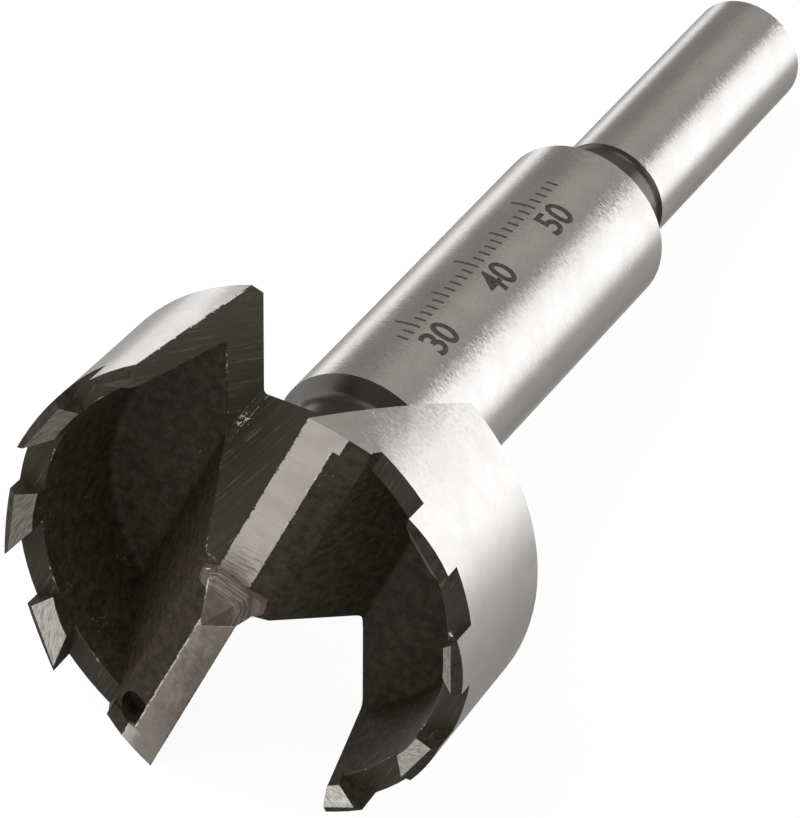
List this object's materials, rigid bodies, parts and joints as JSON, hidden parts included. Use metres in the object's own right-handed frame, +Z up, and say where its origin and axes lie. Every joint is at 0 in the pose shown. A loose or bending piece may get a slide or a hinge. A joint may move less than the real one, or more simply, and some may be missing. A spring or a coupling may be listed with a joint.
{
  "type": "forstner bit",
  "caption": "One-piece saw-tooth forstner bit: cup-shaped cutting head with lifters, toothed rim and centre point, on a stepped round shank",
  "frame": {"origin": "centre of the bounding box in plan, on the flat surface that the bit lies on", "axes": "+Z up from the surface; +X along the bit's axis in plan, towards the end of the shank; the axis itself slopes down towards the shank by 9.1 degrees; +Y completes a right-handed frame"},
  "size_m": [0.0958, 0.04, 0.0389],
  "materials": {
    "tool_steel": "ground satin outside, dark as forged in the chip pockets"
  },
  "bodies": {
    "root": {"forstner_bit": "tool_steel"}
  },
  "joints": []
}
